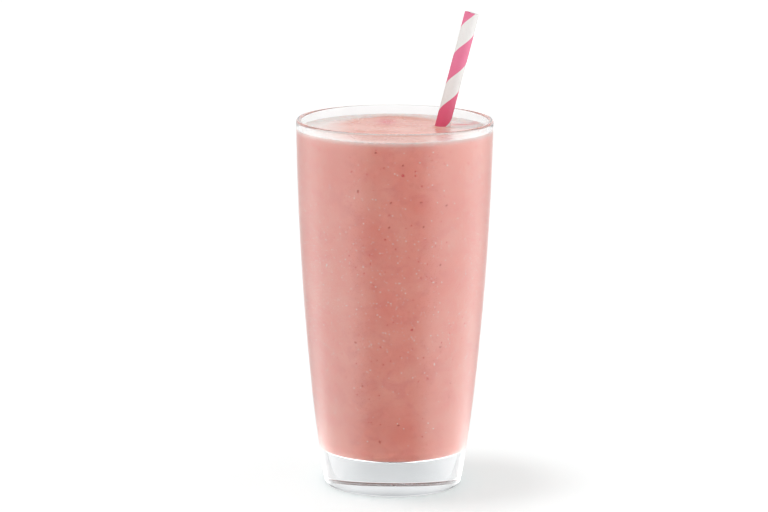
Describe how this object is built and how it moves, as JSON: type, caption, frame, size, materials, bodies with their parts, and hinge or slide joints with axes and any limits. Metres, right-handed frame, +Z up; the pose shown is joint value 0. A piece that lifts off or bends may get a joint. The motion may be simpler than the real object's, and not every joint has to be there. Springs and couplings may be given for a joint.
{
  "type": "strawberry smoothie in a glass",
  "caption": "Tall tapering tumbler with a thick clear base, filled nearly to the rim with pink strawberry smoothie, with a striped paper straw leaning in it.",
  "frame": {"origin": "centre of the glass's foot, on the table plane", "axes": "+Z up along the glass's axis, +X to the right, the way the straw leans, +Y to the back, away from the viewer"},
  "size_m": [0.08, 0.08, 0.1932],
  "materials": {
    "clear_glass": "clear, smooth",
    "strawberry_smoothie": "wet, creamy, slightly glossy",
    "striped_paper": "smooth waxed paper, pink and white stripes"
  },
  "bodies": {
    "root": {"glass": "clear_glass", "smoothie": "strawberry_smoothie", "straw": "striped_paper"}
  },
  "joints": []
}
